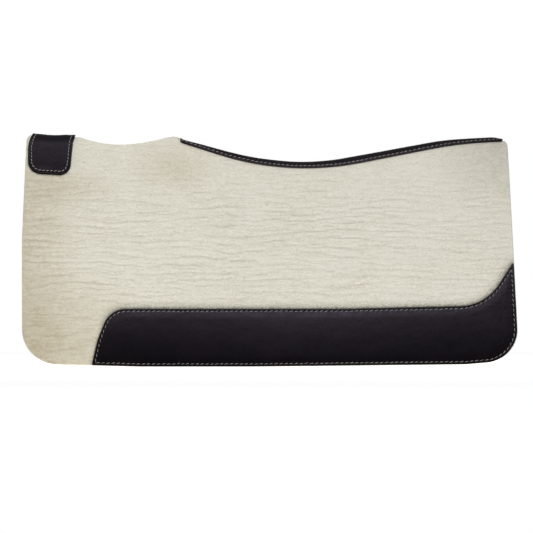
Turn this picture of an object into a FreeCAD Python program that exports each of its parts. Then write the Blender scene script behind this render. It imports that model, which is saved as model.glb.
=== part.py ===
import FreeCAD, Part
import math
import os
import re

import Sketcher

Vector = FreeCAD.Vector

# Contoured saddle pad: two wool-felt halves butted along the ridge, faced with leather.
# Frame: X runs from the withers (-X) to the loin (+X), -Y is the pad's near (left) side, Z is up.
# Y = 0 is the plane of the centre seam and Z = 0 the surface that the two lower edges stand on.
# All lengths are millimetres, all angles degrees.
DIMENSIONS = {
    # Section of the pad across the horse, for the felt's outer face.
    "ridge_radius": 24.0,
    "flank_radius": 747.0,
    "shoulder_angle": 35.0,
    "flank_depth": 386.0,
    # Layers, counted outwards from the felt's outer face.
    "felt_thickness": 19.0,
    "leather_thickness": 3.0,
    "flank_clearance": 0.05,
    "ridge_clearance": 0.3,
    "thread_thickness": 0.7,
    "thread_width": 1.0,
    # Contour of the felt's ridge in side view: corners of straight runs, rounded by large radii.
    "contour_end_x": 400.0,
    "contour_front_z": 368.1,
    "crest_x": -161.0,
    "crest_z": 364.1,
    "crest_radius": 44.0,
    "dip_x": 36.0,
    "dip_z": 314.0,
    "dip_radius": 402.0,
    "rise_x": 278.0,
    "rise_z": 358.0,
    "rise_radius": 324.0,
    "contour_rear_z": 363.9,
    # Side outline of a felt half.
    "head_room": 6.0,
    "front_top_x": -385.6,
    "front_bend_z": 205.0,
    "front_x": -392.4,
    "front_toe_z": 5.0,
    "top_corner_radius": 11.0,
    "front_toe_radius": 56.0,
    "foot_front_x": -200.0,
    "foot_rear_x": -30.0,
    "rear_x": 396.2,
    "rear_toe_z": 3.2,
    "rear_toe_radius": 57.0,
    "rear_top_x": 379.8,
    # Oval vent over the withers, cut square to the felt.
    "vent_x": -236.5,
    "vent_z": 366.0,
    "vent_length": 146.0,
    "vent_half_width": 22.3,
    "vent_rim_drop": 14.0,
    "vent_inner_half_width": 1.5,
    # Wear leather, low on each side.
    "wear_hem": 1.2,
    "wear_front_x": -280.8,
    "wear_front_bend_x": -272.3,
    "wear_front_bend_z": 41.5,
    "wear_front_bend_radius": 120.0,
    "wear_corner_x": -252.2,
    "wear_top_z": 92.0,
    "wear_corner_radius": 38.0,
    "wear_rise_x": 120.0,
    "wear_hook_x": 342.4,
    "wear_hook_z": 97.2,
    "wear_hook_radius": 75.0,
    "wear_tip_z": 165.5,
    "wear_tip_radius": 1.5,
    "wear_seam_inset": 3.6,
    # Leather over the withers.
    "wither_hem": 1.4,
    "wither_front_low_z": 308.2,
    "wither_rear_low_x": -317.8,
    "wither_rear_low_z": 304.6,
    "wither_rear_top_x": -310.0,
    "wither_corner_radius": 17.0,
    "wither_seam_inset": 4.6,
    # Leather strip along the ridge.
    "strip_front_x": -141.6,
    "strip_front_z": 358.8,
    "strip_rear_x": 370.0,
    "strip_rear_z": 359.6,
    "strip_end_radius": 5.0,
    "strip_dip_x": 25.6,
    "strip_dip_z": 303.2,
    "strip_dip_radius": 457.0,
    "strip_rise_x": 301.0,
    "strip_rise_z": 355.6,
    "strip_rise_radius": 585.0,
    "strip_seam_inset": 2.8,
    # Threads on the inner crown, as angles from the vertical about the ridge arc's centre.
    "centre_seam_angle": 25.0,
    "strip_row_inner_angle": 40.0,
    "strip_row_outer_angle": 56.0,
    # Side slabs and frames that trim the layers reach past everything by this much.
    "trim_reach": 500.0,
}
SHEET = "Size"
LEFT = -1
RIGHT = 1
VECTOR_Y = Vector(0, 1, 0)

document = FreeCAD.newDocument("saddle_pad")


def make_sheet():
    """Writes every driving dimension into one spreadsheet cell with its name as the alias."""
    sizes = document.addObject("Spreadsheet::Sheet", SHEET)
    for row, (name, number) in enumerate(DIMENSIONS.items(), start=1):
        sizes.set(f"A{row}", name)
        sizes.set(f"B{row}", str(number))
        sizes.setAlias(f"B{row}", name)
    document.recompute()
    return sizes


sheet = make_sheet()


def cells(text):
    """Turns dimension names in an expression into references to the sheet's cells."""
    def reference(match):
        return f"{SHEET}.{match[0]}" if match[0] in DIMENSIONS else match[0]
    return re.sub(r"[a-z_]+", reference, text)


def value(text):
    """Works out an expression of dimension names as a number."""
    return float(sheet.evalExpression(cells(text)))


def bind(item, prop, text):
    """Binds one property to an expression of dimension names."""
    item.setExpression(prop, cells(text))


# Sketch helpers.

def new_sketch(body, name, role):
    """A sketch on one of the body's own origin planes."""
    sketch = body.newObject("Sketcher::SketchObject", name)
    plane = next(item for item in body.Origin.OriginFeatures if item.Role == role)
    sketch.AttachmentSupport = [(plane, "")]
    sketch.MapMode = "FlatFace"
    return sketch


def drive(sketch, kind, target, text):
    """Adds a dimension to a sketch and binds it to an expression."""
    index = sketch.addConstraint(Sketcher.Constraint(kind, *target, value(text)))
    name = f"size_{index}"
    sketch.renameConstraint(index, name)
    bind(sketch, f"Constraints.{name}", text)


def drive_point(sketch, geometry, end, corner):
    """Fixes one point of the sketch at a corner's two coordinates."""
    drive(sketch, "DistanceX", (geometry, end), corner[0])
    drive(sketch, "DistanceY", (geometry, end), corner[1])


def fillet_points(before, corner, after, radius):
    """Where an arc of this radius, tangent to both runs at a corner, begins, peaks and ends."""
    to_before = (before - corner).normalize()
    to_after = (after - corner).normalize()
    half_angle = to_before.getAngle(to_after) / 2
    setback = radius / math.tan(half_angle)
    middle = (to_before + to_after).normalize()
    peak = corner + middle * (radius / math.sin(half_angle) - radius)
    return corner + to_before * setback, peak, corner + to_after * setback


def draw_outline(sketch, corners, closed=True):
    """Straight runs between corners, rounded where a corner states a radius.

    Each corner is a tuple of expressions: x, height and, for a rounded one, its radius."""
    points = [Vector(value(corner[0]), value(corner[1]), 0) for corner in corners]
    count = len(points)
    starts = list(points)
    ends = list(points)
    peaks = {}
    for index, corner in enumerate(corners):
        if len(corner) == 3:
            fillet = fillet_points(points[index - 1], points[index],
                                   points[(index + 1) % count], value(corner[2]))
            ends[index], peaks[index], starts[index] = fillet
    runs = count if closed else count - 1
    lines = []
    for index in range(runs):
        segment = Part.LineSegment(starts[index], ends[(index + 1) % count])
        lines.append(sketch.addGeometry(segment))
    if not closed:
        drive_point(sketch, lines[0], 1, corners[0])
        drive_point(sketch, lines[-1], 2, corners[-1])
    for index in range(0 if closed else 1, count if closed else count - 1):
        line_in = lines[index - 1]
        line_out = lines[index]
        if index not in peaks:
            sketch.addConstraint(Sketcher.Constraint("Coincident", line_in, 2, line_out, 1))
            drive_point(sketch, line_out, 1, corners[index])
            continue
        arc = sketch.addGeometry(Part.Arc(ends[index], peaks[index], starts[index]))
        to_first = (sketch.getPoint(arc, 1) - ends[index]).Length
        to_second = (sketch.getPoint(arc, 2) - ends[index]).Length
        arc_in, arc_out = (1, 2) if to_first < to_second else (2, 1)
        mark = sketch.addGeometry(Part.Point(points[index]), True)
        drive_point(sketch, mark, 1, corners[index])
        sketch.addConstraint(Sketcher.Constraint("PointOnObject", mark, 1, line_in))
        sketch.addConstraint(Sketcher.Constraint("PointOnObject", mark, 1, line_out))
        sketch.addConstraint(Sketcher.Constraint("Tangent", line_in, 2, arc, arc_in))
        sketch.addConstraint(Sketcher.Constraint("Tangent", arc, arc_out, line_out, 1))
        drive(sketch, "Radius", (arc,), corners[index][2])


# The pad's curved layers.

CONTOUR = [
    ("-contour_end_x", "contour_front_z"),
    ("crest_x", "crest_z", "crest_radius"),
    ("dip_x", "dip_z", "dip_radius"),
    ("rise_x", "rise_z", "rise_radius"),
    ("contour_end_x", "contour_rear_z"),
]


def draw_contour(body, name):
    """The ridge's run from the withers to the loin, which every section follows."""
    sketch = new_sketch(body, name, "XZ_Plane")
    draw_outline(sketch, CONTOUR, closed=False)
    return sketch


def arc_about(centre, radius, start, end):
    """Circular arc between two angles in degrees."""
    circle = Part.Circle(centre, Vector(0, 0, 1), radius)
    return Part.ArcOfCircle(circle, math.radians(start), math.radians(end))


def draw_skin(sketch, side, offset):
    """One face of a layer: a tight arc over the ridge runs tangent into the long flank arc.

    Returns the two arcs; the ridge arc begins on the plane Y = 0."""
    ridge_radius = value(f"ridge_radius + {offset}")
    flank_radius = value(f"flank_radius + {offset}")
    shoulder = value("shoulder_angle")
    spread = value("flank_radius - ridge_radius")
    crown = Vector(0, value("contour_front_z - ridge_radius"), 0)
    across = -side * spread * math.cos(math.radians(shoulder))
    flank_centre = crown + Vector(across, -spread * math.sin(math.radians(shoulder)), 0)
    drop = value("contour_front_z - flank_depth") - flank_centre.y
    foot = math.degrees(math.asin(drop / flank_radius))
    if side == LEFT:
        ridge = sketch.addGeometry(arc_about(crown, ridge_radius, 90, 180 - shoulder))
        flank = sketch.addGeometry(arc_about(flank_centre, flank_radius, 180 - shoulder, 180 - foot))
        top, joint, begin, end = 1, 2, 1, 2
    else:
        ridge = sketch.addGeometry(arc_about(crown, ridge_radius, shoulder, 90))
        flank = sketch.addGeometry(arc_about(flank_centre, flank_radius, foot, shoulder))
        top, joint, begin, end = 2, 1, 2, 1
    sketch.addConstraint(Sketcher.Constraint("PointOnObject", ridge, 3, -2))
    drive(sketch, "DistanceY", (ridge, 3), "contour_front_z - ridge_radius")
    drive(sketch, "Radius", (ridge,), f"ridge_radius + {offset}")
    sketch.addConstraint(Sketcher.Constraint("PointOnObject", ridge, top, -2))
    reach = f"{side} * (ridge_radius + {offset}) * cos(shoulder_angle * 1 deg)"
    drive(sketch, "DistanceX", (ridge, joint), reach)
    sketch.addConstraint(Sketcher.Constraint("Tangent", ridge, joint, flank, begin))
    drive(sketch, "Radius", (flank,), f"flank_radius + {offset}")
    drive(sketch, "DistanceY", (flank, end), "contour_front_z - flank_depth")
    return (ridge, top), (flank, end)


def close_gap(sketch, first, second):
    """A straight line that joins two ends of a section."""
    begin = sketch.getPoint(*first)
    finish = sketch.getPoint(*second)
    line = sketch.addGeometry(Part.LineSegment(begin, finish))
    sketch.addConstraint(Sketcher.Constraint("Coincident", *first, line, 1))
    sketch.addConstraint(Sketcher.Constraint("Coincident", *second, line, 2))


def sweep_section(body, name, draw_section):
    """Carries a section, always upright, along the ridge's contour."""
    contour = draw_contour(body, f"{name}_contour")
    section = new_sketch(body, f"{name}_section", "YZ_Plane")
    section.AttachmentOffset = FreeCAD.Placement(Vector(0, 0, value("-contour_end_x")), FreeCAD.Rotation())
    bind(section, "AttachmentOffset.Base.z", "-contour_end_x")
    draw_section(section)
    document.recompute()
    pipe = body.newObject("PartDesign::AdditivePipe", f"{name}_sweep")
    pipe.Profile = section
    pipe.Spine = (contour, [f"Edge{index + 1}" for index in range(len(contour.Shape.Edges))])
    pipe.Mode = "Fixed"
    pipe.Refine = False


def draw_layer_section(sketch, side, inner, outer):
    """Closed section of one side's layer between two offsets."""
    inner_top, inner_foot = draw_skin(sketch, side, inner)
    outer_top, outer_foot = draw_skin(sketch, side, outer)
    close_gap(sketch, inner_top, outer_top)
    close_gap(sketch, inner_foot, outer_foot)


def make_layer(label, sides, inner, outer):
    """A body holding the layer between two offsets from the felt's outer face."""
    body = document.addObject("PartDesign::Body", label)
    for side in sides:
        sweep_section(body, "left" if side == LEFT else "right",
                      lambda sketch: draw_layer_section(sketch, side, inner, outer))
    document.recompute()
    return body


def trim_to_outline(body, corners):
    """Cuts away all of a body that lies outside a side outline."""
    frame = [("-trim_reach", "-trim_reach"), ("trim_reach", "-trim_reach"),
             ("trim_reach", "trim_reach"), ("-trim_reach", "trim_reach")]
    before = body.Shape.Volume
    sketch = new_sketch(body, "side_outline", "XZ_Plane")
    draw_outline(sketch, frame)
    draw_outline(sketch, corners)
    document.recompute()
    pocket = body.newObject("PartDesign::Pocket", "side_trim")
    pocket.Profile = sketch
    pocket.SideType = "Symmetric"
    bind(pocket, "Length", "2 * trim_reach")
    pocket.Refine = False
    document.recompute()
    if not body.Shape.Volume < before:
        raise RuntimeError(f"{body.Label}: the side outline cut nothing away")


# Side outlines.

def felt_outline(hem="0"):
    """A felt half seen from the side, or a line inside it by the hem; it stands on a flat foot."""
    top = "contour_front_z"
    rear_top = "contour_rear_z"
    return [
        (f"front_top_x + {hem}", f"{top}", "top_corner_radius"),
        (f"front_x + {hem}", "front_bend_z"),
        (f"front_x + {hem}", f"front_toe_z + {hem}", f"front_toe_radius - {hem}"),
        ("foot_front_x", f"{hem}"),
        ("foot_rear_x", f"{hem}"),
        (f"rear_x - {hem}", f"rear_toe_z + {hem}", f"rear_toe_radius - {hem}"),
        (f"rear_top_x - {hem}", f"{rear_top}", "top_corner_radius"),
        ("rear_top_x - 5 * head_room", f"{rear_top} + head_room"),
        ("front_top_x + 5 * head_room", f"{top} + head_room"),
    ]


def wear_outline():
    """Low leather: it follows the lower edge, and hooks up to a tip at the rear edge."""
    edge_x = "rear_top_x + (rear_x - rear_top_x) * (contour_rear_z - wear_tip_z) / contour_rear_z"
    return [
        ("wear_front_x", "wear_hem + front_toe_z / 2", "wear_tip_radius"),
        ("foot_front_x", "wear_hem"),
        ("foot_rear_x", "wear_hem"),
        ("rear_x - wear_hem", "rear_toe_z + wear_hem", "rear_toe_radius - wear_hem"),
        (f"{edge_x} - wear_hem", "wear_tip_z", "wear_tip_radius"),
        ("wear_hook_x", "wear_hook_z", "wear_hook_radius"),
        ("wear_rise_x", "wear_top_z"),
        ("wear_corner_x", "wear_top_z", "wear_corner_radius"),
        ("wear_front_bend_x", "wear_front_bend_z", "wear_front_bend_radius"),
    ]


def wither_outline():
    """Patch folded over the ridge between the front edge and the vent."""
    front_z = "contour_front_z + leather_thickness"
    return [
        ("front_top_x + wither_hem", front_z, "top_corner_radius"),
        ("front_top_x + wither_hem", "wither_front_low_z", "wither_corner_radius"),
        ("wither_rear_low_x", "wither_rear_low_z", "wither_corner_radius"),
        ("wither_rear_top_x", f"{front_z} + 3 * head_room"),
        ("front_top_x + 5 * head_room", f"{front_z} + 3 * head_room"),
        ("front_top_x + 4 * head_room", f"{front_z} + head_room / 2"),
    ]


def strip_outline():
    """Strip folded over the ridge, broad at the dip and narrow at both ends."""
    return [
        ("strip_front_x", "strip_front_z", "strip_end_radius"),
        ("strip_dip_x", "strip_dip_z", "strip_dip_radius"),
        ("strip_rise_x", "strip_rise_z", "strip_rise_radius"),
        ("strip_rear_x", "strip_rear_z", "strip_end_radius"),
        ("strip_rear_x", "contour_front_z + 5 * head_room"),
        ("strip_front_x", "contour_front_z + 5 * head_room"),
    ]


# Sub-parts.

def make_vent_cutter():
    """Oval wedge with its walls square to the felt: narrow at the ridge arc's centre, wide above."""
    inner_ring = document.addObject("Part::Ellipse", "vent_inner_ring")
    outer_ring = document.addObject("Part::Ellipse", "vent_outer_ring")
    rise = "ridge_radius / (ridge_radius - vent_rim_drop)"
    widths = {
        inner_ring: "vent_inner_half_width",
        outer_ring: f"vent_inner_half_width + (vent_half_width - vent_inner_half_width) * {rise}",
    }
    heights = {inner_ring: "vent_z - ridge_radius", outer_ring: "vent_z"}
    for ring in (inner_ring, outer_ring):
        bind(ring, "MajorRadius", "vent_length / 2")
        bind(ring, "MinorRadius", widths[ring])
        bind(ring, "Placement.Base.x", "vent_x")
        bind(ring, "Placement.Base.z", heights[ring])
    cutter = document.addObject("Part::Loft", "vent_cutter")
    cutter.Sections = [inner_ring, outer_ring]
    cutter.Solid = True
    cutter.Ruled = True
    headroom = document.addObject("Part::Extrusion", "vent_headroom")
    headroom.Base = outer_ring
    headroom.Dir = Vector(0, 0, 1)
    headroom.Solid = True
    bind(headroom, "LengthFwd", "5 * head_room")
    whole = document.addObject("Part::Fuse", "vent_tool")
    whole.Base = cutter
    whole.Tool = headroom
    document.recompute()
    return whole


def cut_vent(label, body, cutter):
    """Takes the vent out of a body and gives the result its label."""
    cut = document.addObject("Part::Cut", label)
    cut.Base = body
    cut.Tool = cutter
    document.recompute()
    if not cut.Shape.Volume < body.Shape.Volume:
        raise RuntimeError(f"{label}: the vent cut nothing away")
    return cut


def make_felt_panel(label, side, cutter):
    """One felt half, from the seam down to its lower edge."""
    body = make_layer(f"{label}_blank", [side], "(-felt_thickness)", "0")
    trim_to_outline(body, felt_outline())
    return cut_vent(label, body, cutter)


def make_leather(label, sides, gap, corners):
    """A leather piece lying on the felt's outer face."""
    body = make_layer(label, sides, gap, f"({gap} + leather_thickness)")
    trim_to_outline(body, corners)
    return body


def make_seam_slab(label, corners, inset):
    """A slab through the pad whose side view is the thin closed line of one seam."""
    outline = document.addObject("Sketcher::SketchObject", f"{label}_outline")
    outline.Placement = FreeCAD.Placement(Vector(), FreeCAD.Rotation(Vector(1, 0, 0), 90))
    draw_outline(outline, corners)
    row = document.addObject("Part::Offset2D", f"{label}_row")
    row.Source = outline
    bind(row, "Value", f"-{inset}")
    band = document.addObject("Part::Offset2D", f"{label}_band")
    band.Source = row
    band.Fill = True
    bind(band, "Value", "-thread_width")
    slab = document.addObject("Part::Extrusion", f"{label}_slab")
    slab.Base = band
    slab.Dir = VECTOR_Y
    slab.Solid = True
    slab.Symmetric = True
    bind(slab, "LengthFwd", "2 * trim_reach")
    document.recompute()
    return slab


def make_thread(label, sides, inner, outer, slab):
    """A seam's thread: its line pressed onto one face of the pad."""
    layer = make_layer(f"{label}_layer", sides, inner, outer)
    thread = document.addObject("Part::Common", label)
    thread.Base = layer
    thread.Tool = slab
    document.recompute()
    return thread


def make_needle_thread(label, sides, gap, slab):
    """The thread that shows on the leather."""
    start = f"({gap} + leather_thickness + flank_clearance)"
    return make_thread(label, sides, start, f"({start} + thread_thickness)", slab)


def make_bobbin_thread(label, sides, gap, slab):
    """The thread that shows on the pad's inner face."""
    start = f"(-felt_thickness - {gap})"
    return make_thread(label, sides, f"({start} - thread_thickness)", start, slab)


def draw_crown_band(sketch, first, last):
    """Section of a thread that hugs the inner crown between two angles from the vertical."""
    outer = "(ridge_radius - felt_thickness - ridge_clearance)"
    inner = f"({outer} - thread_thickness)"
    crown = Vector(0, value("contour_front_z - ridge_radius"), 0)
    arcs = []
    for radius in (inner, outer):
        arc = sketch.addGeometry(arc_about(crown, value(radius), 90 - value(last), 90 - value(first)))
        sketch.addConstraint(Sketcher.Constraint("PointOnObject", arc, 3, -2))
        drive(sketch, "DistanceY", (arc, 3), "contour_front_z - ridge_radius")
        drive(sketch, "Radius", (arc,), radius)
        drive(sketch, "DistanceX", (arc, 1), f"{radius} * sin({last} * 1 deg)")
        drive(sketch, "DistanceX", (arc, 2), f"{radius} * sin({first} * 1 deg)")
        arcs.append(arc)
    close_gap(sketch, (arcs[0], 1), (arcs[1], 1))
    close_gap(sketch, (arcs[0], 2), (arcs[1], 2))


def make_centre_seam_thread(label, cutter):
    """Thread that sews the two felt halves together, in front of the vent and behind it."""
    body = document.addObject("PartDesign::Body", f"{label}_blank")
    sweep_section(body, "crown", lambda sketch: draw_crown_band(
        sketch, "(-centre_seam_angle)", "centre_seam_angle"))
    document.recompute()
    trim_to_outline(body, felt_outline("wither_hem"))
    return cut_vent(label, body, cutter)


def make_strip_bobbin_thread(label):
    """The spine strip's bobbin thread: a row along each side of the inner crown."""
    body = document.addObject("PartDesign::Body", label)
    sweep_section(body, "left_row", lambda sketch: draw_crown_band(
        sketch, "(-strip_row_outer_angle)", "(-strip_row_inner_angle)"))
    document.recompute()
    sweep_section(body, "right_row", lambda sketch: draw_crown_band(
        sketch, "strip_row_inner_angle", "strip_row_outer_angle"))
    document.recompute()
    front = "strip_front_x + strip_seam_inset"
    rear = "strip_rear_x - strip_seam_inset"
    trim_to_outline(body, [(front, "0"), (rear, "0"), (rear, "contour_front_z"),
                           (front, "contour_front_z")])
    return body


def make_all():
    """Every sub-part of the pad: leather and thread over the ridge first, then each side."""
    both = [LEFT, RIGHT]
    cutter = make_vent_cutter()
    pieces = [
        make_leather("wither_leather", both, "ridge_clearance", wither_outline()),
        make_leather("spine_leather", both, "ridge_clearance", strip_outline()),
        make_centre_seam_thread("centre_seam_thread", cutter),
    ]
    wither_slab = make_seam_slab("wither_seam", wither_outline(), "wither_seam_inset")
    spine_slab = make_seam_slab("spine_seam", strip_outline(), "strip_seam_inset")
    wear_slab = make_seam_slab("wear_seam", wear_outline(), "wear_seam_inset")
    for name, slab in (("wither", wither_slab), ("spine", spine_slab)):
        pieces.append(make_needle_thread(f"{name}_needle_thread", both, "ridge_clearance", slab))
    over_centre_seam = "(ridge_clearance + thread_thickness + flank_clearance)"
    pieces.append(make_bobbin_thread("wither_bobbin_thread", both, over_centre_seam, wither_slab))
    pieces.append(make_strip_bobbin_thread("spine_bobbin_thread"))
    for side, word in ((LEFT, "left"), (RIGHT, "right")):
        pieces.append(make_felt_panel(f"felt_panel_{word}", side, cutter))
        pieces.append(make_leather(f"wear_leather_{word}", [side], "flank_clearance", wear_outline()))
        for make_one, kind in ((make_needle_thread, "needle"), (make_bobbin_thread, "bobbin")):
            name = f"wear_{kind}_thread_{word}"
            pieces.append(make_one(name, [side], "flank_clearance", wear_slab))
    return pieces


def check_document():
    """Stops when any object of the document has failed."""
    for item in document.Objects:
        if "Invalid" in item.State or "Error" in item.State:
            raise RuntimeError(f"{item.Label} did not recompute: {item.State}")


def check_piece(piece):
    """Stops when a sub-part is empty or broken."""
    if piece.Shape.isNull() or not piece.Shape.isValid() or not piece.Shape.Solids:
        raise RuntimeError(f"{piece.Label} has no valid solid")


def write_all(pieces):
    """Writes one file for each sub-part."""
    os.makedirs("parts", exist_ok=True)
    for piece in pieces:
        piece.Shape.exportStep(os.path.join("parts", f"{piece.Label}.step"))
        box = piece.Shape.BoundBox
        print(piece.Label, len(piece.Shape.Solids), "solid(s)", round(piece.Shape.Volume), "mm3",
              "x", round(box.XMin, 1), round(box.XMax, 1), "y", round(box.YMin, 1),
              round(box.YMax, 1), "z", round(box.ZMin, 2), round(box.ZMax, 1))


sub_parts = make_all()
document.recompute()
check_document()
for sub_part in sub_parts:
    check_piece(sub_part)
write_all(sub_parts)
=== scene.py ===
"""Saddle pad: felt halves, leathers and threads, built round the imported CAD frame.

Metres. X runs from the withers to the loin, -Y is the near (left) side, Z is up.
A place on the pad's skin is (x, s): s is the distance down the felt's outer face from the ridge.
A third number, the offset, counts outwards from that face."""
import math

import bmesh
import bpy
import numpy as np
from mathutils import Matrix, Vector
from mathutils.bvhtree import BVHTree
from mathutils.geometry import delaunay_2d_cdt
from mathutils.kdtree import KDTree


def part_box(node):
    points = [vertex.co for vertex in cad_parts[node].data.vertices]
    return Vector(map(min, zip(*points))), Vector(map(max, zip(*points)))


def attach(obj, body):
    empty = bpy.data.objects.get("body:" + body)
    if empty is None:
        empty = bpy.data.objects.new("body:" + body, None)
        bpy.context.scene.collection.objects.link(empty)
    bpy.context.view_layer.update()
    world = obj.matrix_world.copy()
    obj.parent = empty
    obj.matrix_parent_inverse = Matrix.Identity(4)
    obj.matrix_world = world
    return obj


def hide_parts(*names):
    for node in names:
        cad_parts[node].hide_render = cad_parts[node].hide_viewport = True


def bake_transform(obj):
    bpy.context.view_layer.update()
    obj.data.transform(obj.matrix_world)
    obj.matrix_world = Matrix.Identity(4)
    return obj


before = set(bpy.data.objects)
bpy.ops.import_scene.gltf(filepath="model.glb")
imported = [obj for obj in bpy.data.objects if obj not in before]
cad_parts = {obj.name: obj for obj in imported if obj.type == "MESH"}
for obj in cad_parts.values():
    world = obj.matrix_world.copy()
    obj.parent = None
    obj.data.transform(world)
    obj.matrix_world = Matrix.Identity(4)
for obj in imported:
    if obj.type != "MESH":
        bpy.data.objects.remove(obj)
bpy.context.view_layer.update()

MM = 0.001
LEFT = -1
RIGHT = 1
SIDES = {LEFT: "left", RIGHT: "right"}

# Section across the horse, as the CAD model has it.
RIDGE_RADIUS = 24 * MM
FLANK_RADIUS = 747 * MM
SHOULDER = math.radians(90 - 35)
FELT = 19 * MM
LEATHER = 3 * MM

# The oval vent behind the withers: its two ends, each with a margin.
VENT_FRONT = -311 * MM
VENT_REAR = -154 * MM

# ---- The pad's skin ----


def sample_ridge():
    """The ridge's height over X, read from the CAD felt; the vent is bridged by a straight line."""
    front_skip, rear_skip = 14 * MM, 28 * MM
    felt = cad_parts["felt_panel_left"]
    tree = BVHTree.FromPolygons([v.co for v in felt.data.vertices],
                                [p.vertices for p in felt.data.polygons])
    low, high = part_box("felt_panel_left")
    near_seam = -0.2 * MM
    xs = np.arange(low.x + front_skip, high.x - rear_skip, 1 * MM)
    found = []
    for x in xs[(xs < VENT_FRONT) | (xs > VENT_REAR)]:
        hit = tree.ray_cast(Vector((x, near_seam, 1.0)), Vector((0, 0, -1)))[0]
        found.append((x, hit.z))
    return np.array(found)


RIDGE = sample_ridge()
SLOPE_SAMPLES = 20

# How the sewn ridge departs from the drawn one, in mm: its height at the front edge, then steps
# (from X, to X, rise) behind that edge, at the vent's ends, at the ends of the stretch that the
# strip presses down, and at the rear edge.
FRONT_LIFT = 1.6
RIDGE_STEPS = [(-386, -352, -1.6), (-310, -299, 2.3), (-158, -148, -2.3),
               (-115, -70, -0.7), (275, 325, 0.7), (352, 384, -3.6)]
# Humps (X, reach, height): under the wither patch, before the strip's tip, and at the back's dip.
RIDGE_HUMPS = [(-343, 22, -1.8), (-147, 9, 4.0), (8, 38, 0.9)]


def smooth(low, high, x):
    """Smooth step from 0 to 1."""
    share = np.clip((x - low) / (high - low), 0, 1)
    return share * share * (3 - 2 * share)


def settled(x):
    """How far the sewn ridge lies above the drawn one."""
    x = x / MM
    height = FRONT_LIFT
    for start, end, rise in RIDGE_STEPS:
        height = height + rise * smooth(start, end, x)
    for centre, reach, rise in RIDGE_HUMPS:
        height = height + rise * np.exp(-((x - centre) / reach) ** 2)
    return height * MM


def ridge_height(x):
    """Height of the felt's ridge; straight on past both ends of the sampled stretch."""
    x = np.asarray(x, float)
    inside = np.interp(x, RIDGE[:, 0], RIDGE[:, 1])
    front_run, front_rise = RIDGE[SLOPE_SAMPLES] - RIDGE[0]
    rear_run, rear_rise = RIDGE[-1] - RIDGE[-1 - SLOPE_SAMPLES]
    front = RIDGE[0, 1] + (x - RIDGE[0, 0]) * front_rise / front_run
    rear = RIDGE[-1, 1] + (x - RIDGE[-1, 0]) * rear_rise / rear_run
    plain = np.where(x < RIDGE[0, 0], front, np.where(x > RIDGE[-1, 0], rear, inside))
    return plain + settled(x)


RIDGE_ARC = RIDGE_RADIUS * SHOULDER
FLANK_CENTRE_Y = (FLANK_RADIUS - RIDGE_RADIUS) * math.sin(SHOULDER)
FLANK_CENTRE_Z = -RIDGE_RADIUS - (FLANK_RADIUS - RIDGE_RADIUS) * math.cos(SHOULDER)
FOOT_BLEND = 60 * MM


def lean(s):
    """Angle of the skin's outward normal from the vertical."""
    return np.where(s < RIDGE_ARC, s / RIDGE_RADIUS, SHOULDER + (s - RIDGE_ARC) / FLANK_RADIUS)


def section(s, offset):
    """Distance from the seam plane and height over the ridge line, on the left side."""
    angle = lean(s)
    on_ridge = s < RIDGE_ARC
    out = np.where(on_ridge, (RIDGE_RADIUS + offset) * np.sin(angle),
                   (FLANK_RADIUS + offset) * np.sin(angle) - FLANK_CENTRE_Y)
    up = np.where(on_ridge, (RIDGE_RADIUS + offset) * np.cos(angle) - RIDGE_RADIUS,
                  (FLANK_RADIUS + offset) * np.cos(angle) + FLANK_CENTRE_Z)
    return out, up


def skin(x, s, offset, side):
    """Points of the pad. Near the foot a layer is cut level, to stand on the floor."""
    x, s, offset = np.broadcast_arrays(np.asarray(x, float), s, offset)
    out, up = section(s, offset)
    height = ridge_height(x)
    face = section(s, 0.0)[1] + height
    level = np.clip(1 - face / FOOT_BLEND, 0, 1)
    level = level * level * (3 - 2 * level)
    z = up + height - level * offset * np.cos(lean(s))
    return np.column_stack([x, side * out, np.maximum(z, 0)])


# A table of the section, which unroll reads backwards: distance down the skin, and height.
TABLE_REACH = 0.42
TABLE_STEPS = 4200
TABLE_S = np.linspace(0, TABLE_REACH, TABLE_STEPS + 1)
TABLE_UP = section(TABLE_S, 0.0)[1]
UNROLL_PASSES = 4
LEAST_LEAN = 0.3


def unroll(points, offset=0.0):
    """Turns side-view points (x, z) of the layer at an offset into skin places (x, s)."""
    x, z = points.T
    s = np.interp(ridge_height(x) - z, -TABLE_UP, TABLE_S)
    for _ in range(UNROLL_PASSES):
        s = s + (skin(x, s, offset, LEFT)[:, 2] - z) / np.sin(np.maximum(lean(s), LEAST_LEAN))
    return np.column_stack([x, np.maximum(s, 0)])


# ---- Outlines in side view ----

STEP = 0.2 * MM


def straight(first, last):
    """Evenly spaced points from one place up to, but not including, another."""
    count = max(1, int(np.linalg.norm(last - first) / STEP))
    share = np.arange(count)[:, None] / count
    return first + (last - first) * share


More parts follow.
